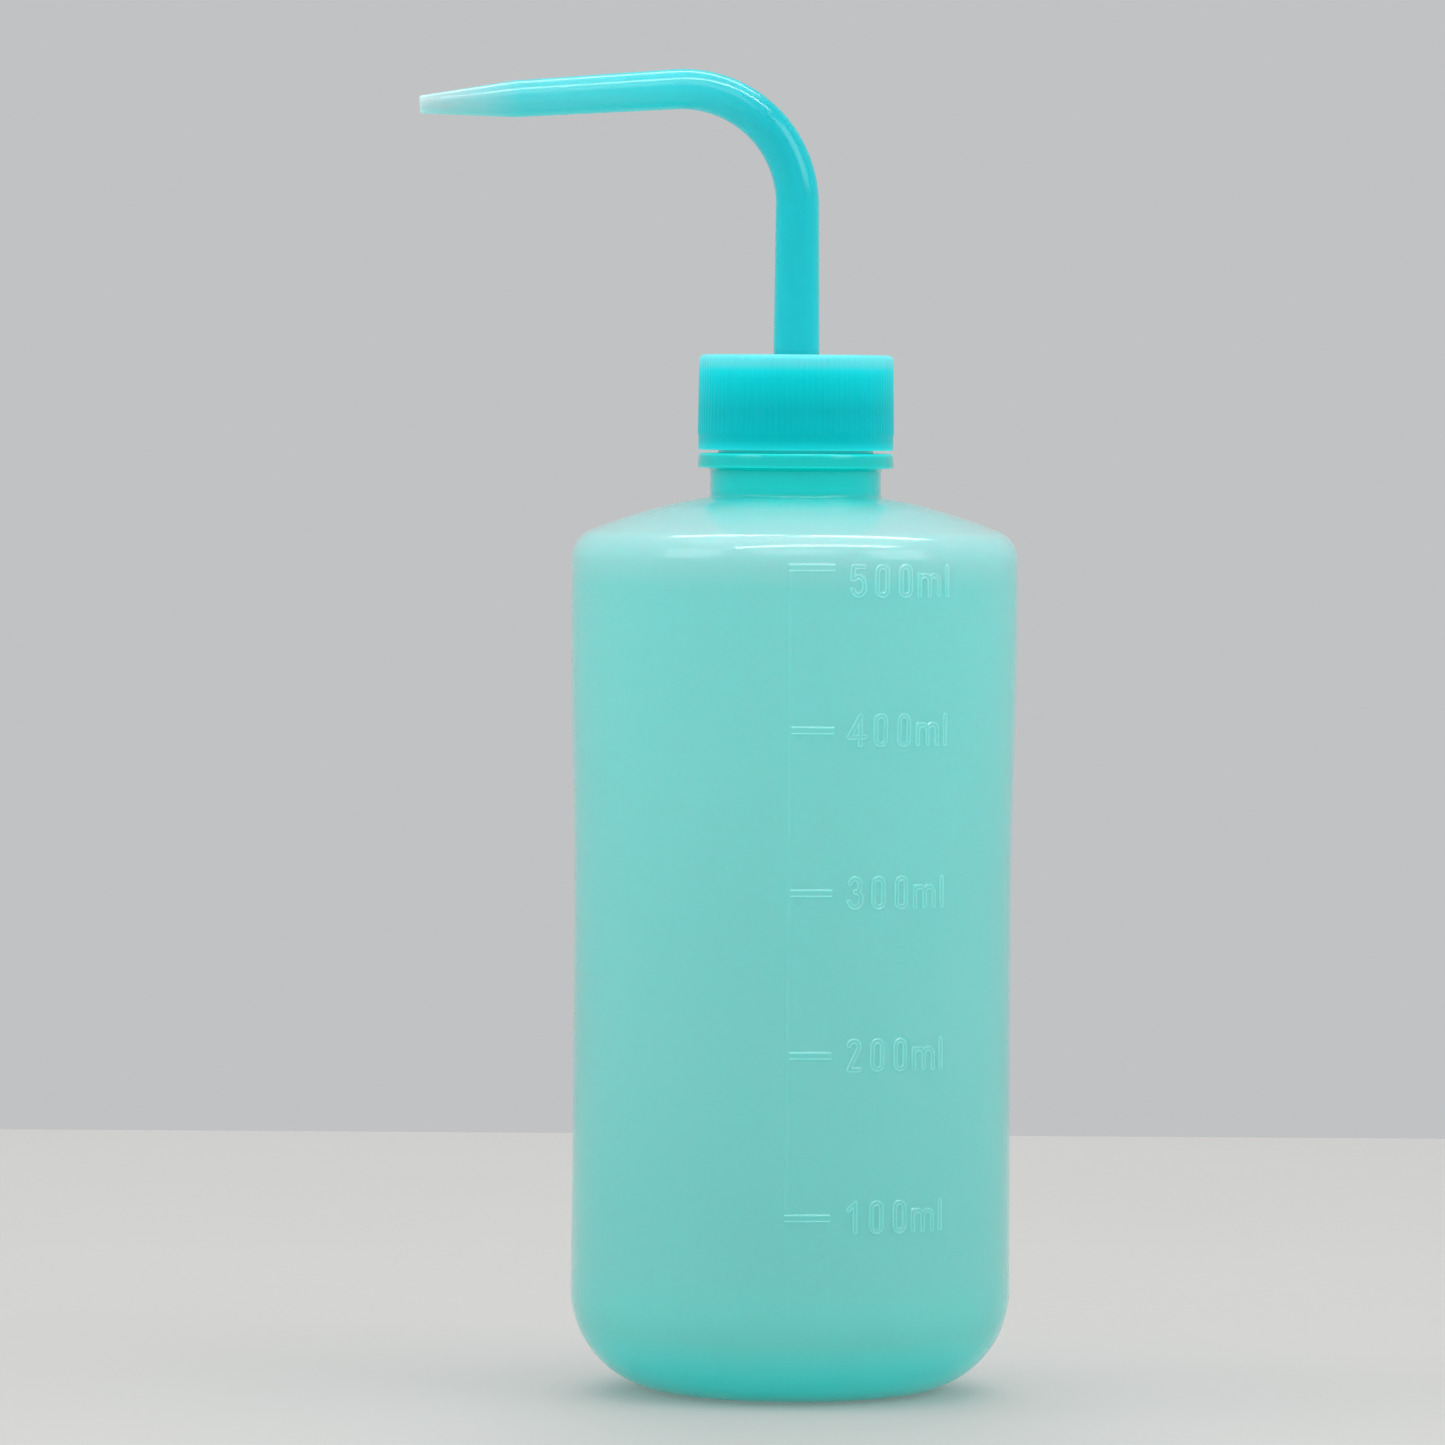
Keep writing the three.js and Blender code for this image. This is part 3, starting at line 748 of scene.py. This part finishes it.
class Plastic:
    """A moulded plastic: a Principled shader whose colour and finish vary by place."""

    def __init__(self, name):
        self.material = bpy.data.materials.new(name)
        self.material.use_nodes = True
        self.tree = self.material.node_tree
        self.shader = self.tree.nodes["Principled BSDF"]
        self.place = self.tree.nodes.new("ShaderNodeTexCoord").outputs["Object"]

    def node(self, kind, **sockets):
        """A new node, with each named socket linked to a socket or set to a value."""
        made = self.tree.nodes.new(kind)
        for socket, value in sockets.items():
            target = made.inputs[socket.replace("_", " ")]
            if isinstance(value, bpy.types.NodeSocket):
                self.tree.links.new(value, target)
            else:
                target.default_value = value
        return made

    def noise(self, scale, detail=2.0, stretch=(1, 1, 1)):
        """Soft variation from 0 to 1, with about this many features in a metre."""
        mapping = self.node("ShaderNodeMapping", Vector=self.place, Scale=stretch)
        noise = self.node(
            "ShaderNodeTexNoise", Vector=mapping.outputs["Vector"], Scale=scale, Detail=detail
        )
        return noise.outputs["Fac"]

    def ramp(self, axis, stops):
        """A colour that changes along an axis; stops are (millimetres, colour)."""
        split = self.node("ShaderNodeSeparateXYZ", Vector=self.place)
        low, high = stops[0][0], stops[-1][0]
        span = self.node(
            "ShaderNodeMapRange", Value=split.outputs[axis], From_Min=low * MM, From_Max=high * MM
        )
        ramp = self.node("ShaderNodeValToRGB", Fac=span.outputs["Result"])
        points = ramp.color_ramp.elements
        while len(points) < len(stops):
            points.new(0.5)
        for point, (at, colour) in zip(points, stops):
            point.position = (at - low) / (high - low)
            point.color = colour
        return ramp.outputs["Color"]

    def written(self, name):
        """The values that a mesh carries under a name."""
        attribute = self.node("ShaderNodeAttribute")
        attribute.attribute_name = name
        return attribute.outputs["Fac"]

    def scaled(self, colour, low, high, share):
        """The colour made darker or lighter, from low to high as the share goes from 0 to 1."""
        span = self.node("ShaderNodeMapRange", Value=share, To_Min=low, To_Max=high)
        mix = self.node("ShaderNodeVectorMath", Vector=colour)
        mix.operation = "SCALE"
        self.tree.links.new(span.outputs["Result"], mix.inputs["Scale"])
        return mix.outputs["Vector"]

    def mottled(self, colour, amount, scale, detail):
        """The colour made unevenly darker and lighter, by up to an amount each way."""
        return self.scaled(colour, 1 - amount, 1 + amount, self.noise(scale, detail))

    def colour(self, socket):
        """Take the colour from a socket."""
        self.tree.links.new(socket, self.shader.inputs["Base Color"])

    def rough(self, low, high, variation):
        """Let the roughness vary between two values."""
        span = self.node("ShaderNodeMapRange", Value=variation, To_Min=low, To_Max=high)
        self.tree.links.new(span.outputs["Result"], self.shader.inputs["Roughness"])

    def bump(self, height, distance):
        """Fine unevenness of the surface; the distance is in metres."""
        bump = self.node("ShaderNodeBump", Height=height, Distance=distance, Strength=1.0)
        self.tree.links.new(bump.outputs["Normal"], self.shader.inputs["Normal"])

    def translucent(self, weight, radius, scale):
        """Let light in, to the scale in metres times the radius of red, green and blue."""
        self.shader.inputs["Subsurface Weight"].default_value = weight
        self.shader.inputs["Subsurface Radius"].default_value = radius
        self.shader.inputs["Subsurface Scale"].default_value = scale

    def gloss(self, level):
        """Strength of the surface's mirror-like part; 0.5 is an ordinary plastic."""
        self.shader.inputs["Specular IOR Level"].default_value = level


# How far red, green and blue light goes into the turquoise plastics, against each other
AQUA_DEPTH = (0.25, 1.0, 0.9)

# Millimetres up at which the bottle's colours end. The renderer samples them in even steps over
# this height, wider than the narrowest bands at the collar, so another end shifts those bands
BOTTLE_COLOURS_END = 166


def bottle_plastic():
    """Turquoise polyethylene, deeper in the thick neck, with light and shade painted up its
    height.
    """
    plastic = Plastic("turquoise_polyethylene")
    shoulder_painted_light = linear(160, 219, 215)
    neck = linear(0, 193, 191)
    collar = linear(0, 180, 178)
    slit_painted_light = linear(0, 212, 212)
    underside_painted_light = linear(0, 205, 202)
    stops = (
        # painted light: the base brighter and deeper where light comes through it and off the
        # floor
        (0, linear(0, 222, 214)),
        (3, linear(60, 216, 210)),
        # painted shade: the wall darker towards the bottom
        (11, linear(102, 192, 186)),
        (22, linear(112, 188, 183)),
        (60, linear(118, 194, 189)),
        (132, linear(120, 206, 200)),
        # painted reflection and light: the shoulder paler, as if lit by the bright ceiling above
        (DOME_TOP - 6.5, shoulder_painted_light),
        (DOME_TOP - 3.1, linear(140, 218, 214)),
        (DOME_TOP - 1.7, linear(80, 208, 204)),
        (DOME_TOP - 0.5, neck),
        (COLLAR_BOTTOM - 0.4, neck),
        # painted light under the collar, where shade falls
        (COLLAR_BOTTOM - 0.15, underside_painted_light),
        (COLLAR_BOTTOM + 0.2, underside_painted_light),
        (COLLAR_BOTTOM + 0.5, collar),
        (COLLAR_TOP - 0.15, collar),
        # painted light in the slit between collar and cap, where shade falls
        (COLLAR_TOP + 0.1, slit_painted_light),
        (COLLAR_TOP + 1, slit_painted_light),
        (COLLAR_TOP + 2, neck),
        (BOTTLE_COLOURS_END, neck),
    )
    colour = plastic.mottled(plastic.ramp("Z", stops), 0.03, 18, 3)
    # painted highlight: the graduation's stroke edges are made lighter
    highlight_share = plastic.written(STROKE_HIGHLIGHT)
    plastic.colour(plastic.scaled(colour, 1.0, EDGE_HIGHLIGHT, highlight_share))
    plastic.rough(0.10, 0.15, plastic.noise(60, 4))
    plastic.bump(plastic.noise(450, 3), 0.000005)
    plastic.translucent(1.0, AQUA_DEPTH, 0.005)
    plastic.gloss(0.4)
    return plastic.material


def cap_plastic():
    """Deeper turquoise polypropylene, with painted light: paler where light comes in at the top
    edge, and at the skirt's bottom edge.
    """
    plastic = Plastic("turquoise_polypropylene")
    low, top = cap_low[2], cap_high[2]
    stops = (
        # painted light on the skirt's bottom edge, beside the shaded slit
        (low, linear(60, 240, 240)),
        (low + 0.3, linear(20, 196, 203)),
        (low + 1.5, linear(0, 180, 187)),
        # painted light: a paler band towards the top, where light comes in through the top plate
        (top - 9, linear(0, 174, 181)),
        (top - 4, linear(0, 196, 204)),
        (top - 2.6, linear(20, 208, 215)),
        (top - 1.6, linear(90, 204, 211)),
        (top, linear(105, 206, 213)),
    )
    plastic.colour(plastic.mottled(plastic.ramp("Z", stops), 0.03, 40, 3))
    plastic.rough(0.30, 0.38, plastic.noise(90, 4))
    plastic.bump(plastic.noise(700, 3), 0.00002)
    plastic.translucent(1.0, AQUA_DEPTH, 0.004)
    plastic.gloss(0.08)
    return plastic.material


def spout_plastic():
    """The spout's polyethylene, with painted light: paler along the arm that light from above
    falls on, and palest towards the thin tip that light passes through.
    """
    plastic = Plastic("spout_polyethylene")
    tip = spout_low[0]
    stops = (
        # painted light: palest at the thin tip, where light passes through
        (tip, linear(166, 213, 213)),
        (tip + TIP_LENGTH * 0.7, linear(125, 216, 218)),
        # painted light: the arm paler than the upright, where light from above falls on it
        (tip + TIP_LENGTH + 1, linear(80, 212, 217)),
        (-20, linear(50, 208, 216)),
        (-4, linear(0, 178, 188)),
        (4, linear(0, 178, 188)),
    )
    plastic.colour(plastic.mottled(plastic.ramp("X", stops), 0.03, 50, 3))
    plastic.rough(0.12, 0.18, plastic.noise(120, 4))
    plastic.bump(plastic.noise(500, 3), 0.00001)
    plastic.translucent(1.0, AQUA_DEPTH, 0.012)
    plastic.gloss(0.4)
    return plastic.material


def tube_plastic():
    """Natural milky polyethylene, with faint draw lines along the tube."""
    plastic = Plastic("natural_polyethylene")
    stops = ((4, linear(222, 238, 235)), (165, linear(214, 234, 231)))
    plastic.colour(plastic.mottled(plastic.ramp("Z", stops), 0.03, 60, 3))
    plastic.rough(0.28, 0.36, plastic.noise(400, 2, stretch=(1, 1, 0.02)))
    plastic.bump(plastic.noise(900, 2, stretch=(1, 1, 0.02)), 0.00002)
    plastic.translucent(0.6, (1.0, 1.0, 1.0), 0.002)
    return plastic.material


def washer_plastic():
    """White foamed polyethylene with a fine-pored, dull surface."""
    plastic = Plastic("foamed_polyethylene")
    stops = ((165, linear(236, 236, 230)), (167, linear(240, 240, 235)))
    plastic.colour(plastic.mottled(plastic.ramp("Z", stops), 0.05, 900, 2))
    plastic.rough(0.55, 0.75, plastic.noise(700, 3))
    plastic.bump(plastic.noise(1500, 2), 0.00008)
    return plastic.material


# ---- Stage -------------------------------------------------------------------------------------

# Places on the stage are in metres, the camera's roll in degrees and its lens in millimetres
FLOOR_BACK = 0.496
FLOOR_REACH = 1.25
FLOOR_COLOUR = linear(187, 186, 184)
WALL_COLOUR = linear(193, 194, 195)
LAMP_AIM = (0, 0, 0.12)
CAMERA_PLACE = (-0.0117, -1.427, 0.162)
CAMERA_AIM = (-0.0117, 0, 0.1094)
CAMERA_ROLL = 0.38
CAMERA_LENS = 217


def make_floor():
    """A plain pale floor whose far edge meets the plain grey of the world."""
    mesh = bpy.data.meshes.new("floor")
    corners = (
        (-FLOOR_REACH, -FLOOR_REACH, 0),
        (FLOOR_REACH, -FLOOR_REACH, 0),
        (FLOOR_REACH, FLOOR_BACK, 0),
        (-FLOOR_REACH, FLOOR_BACK, 0),
    )
    mesh.from_pydata(corners, [], [(0, 1, 2, 3)])
    floor = bpy.data.objects.new("floor", mesh)
    bpy.context.scene.collection.objects.link(floor)
    plastic = Plastic("pale_floor")
    plastic.colour(plastic.mottled(FLOOR_COLOUR[:3], 0.02, 6, 3))
    plastic.rough(0.55, 0.65, plastic.noise(20, 3))
    mesh.materials.append(plastic.material)


def make_world():
    """Even light grey all round, which is also the plain wall behind the bottle."""
    world = bpy.data.worlds.new("studio")
    world.use_nodes = True
    background = world.node_tree.nodes["Background"]
    background.inputs["Color"].default_value = WALL_COLOUR
    background.inputs["Strength"].default_value = 1.0
    bpy.context.scene.world = world


def aimed(item, place, aim, roll=0.0):
    """Put a camera or a lamp at a place, turned towards another."""
    item.location = place
    item.rotation_mode = "QUATERNION"
    turn = (Vector(aim) - Vector(place)).to_track_quat("-Z", "Y")
    item.rotation_quaternion = turn @ Quaternion((0, 0, 1), math.radians(roll))
    bpy.context.scene.collection.objects.link(item)


def softbox(name, place, width, depth, radiance):
    """A rectangular area light aimed at the bottle, as bright as its radiance says."""
    light = bpy.data.lights.new(name, "AREA")
    light.shape = "RECTANGLE"
    light.size = width
    light.size_y = depth
    light.energy = radiance * math.pi * width * depth
    lamp = bpy.data.objects.new(name, light)
    lamp.visible_camera = False
    aimed(lamp, place, LAMP_AIM)
    return lamp


def make_lights():
    """Soft light all round, and two long strips that are seen only as highlights.

    Thin translucent walls let light through, so half of the lights cast no shadow.
    """
    ceiling = softbox("ceiling", (0, 0.1, 1.4), 1.6, 1.2, 1.1)
    front_key = softbox("front_key", (0, -1.4, 1.3), 1.2, 0.8, 1.8)
    front_fill = softbox("front_fill", (0, -2.2, 0.5), 2.2, 0.8, 2.2)
    back_fill = softbox("back_fill", (0, 1.8, 1.0), 1.6, 0.8, 2.2)
    left_fill = softbox("left_fill", (-1.3, -0.8, 0.9), 0.9, 0.9, 2.3)
    right_fill = softbox("right_fill", (1.3, -0.8, 0.9), 0.9, 0.9, 2.5)
    for lamp in (ceiling, front_key, front_fill, left_fill, right_fill):
        lamp.data.use_shadow = False
    windows = (
        softbox("left_window", (-1.25, 0, 0.5), 0.6, 0.8, 1.9),
        softbox("right_window", (1.25, 0, 0.5), 0.6, 0.8, 1.6),
    )
    for lamp in (front_fill, back_fill, *windows):
        lamp.visible_glossy = False
    strips = (
        softbox("overhead_strip", (0.05, 0.5, 1.1), 1.0, 0.16, 8.0),
        softbox("front_strip", (0.12, -0.45, 1.15), 1.4, 0.16, 12.5),
    )
    for lamp in strips:
        lamp.visible_diffuse = False


def make_camera():
    """The camera in front of the bottle, level with the cap and looking slightly down."""
    data = bpy.data.cameras.new("camera")
    data.sensor_width = 36
    data.lens = CAMERA_LENS
    camera = bpy.data.objects.new("camera", data)
    aimed(camera, CAMERA_PLACE, CAMERA_AIM, CAMERA_ROLL)
    bpy.context.scene.camera = camera


# ---- Assembly ----------------------------------------------------------------------------------

# maker, material, CAD node that it stands for, body it moves with, the record's slot
PIECES = (
    (make_bottle, bottle_plastic, "bottle", "bottle", "bottle_plastic"),
    (make_cap, cap_plastic, "screw_cap", "cap", "cap_plastic"),
    (make_spout, spout_plastic, "spout", "spout", "spout_plastic"),
    (make_dip_tube, tube_plastic, "dip_tube", "spout", "tube_plastic"),
    (make_washer, washer_plastic, "sealing_washer", "seal", "washer_plastic"),
)

make_camera()
for make, finish, node, body, slot in PIECES:
    piece = make()
    piece.data.materials.append(finish())
    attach(piece, body)
    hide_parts(node)

make_floor()
make_world()
make_lights()
bpy.context.scene.view_settings.view_transform = "Standard"
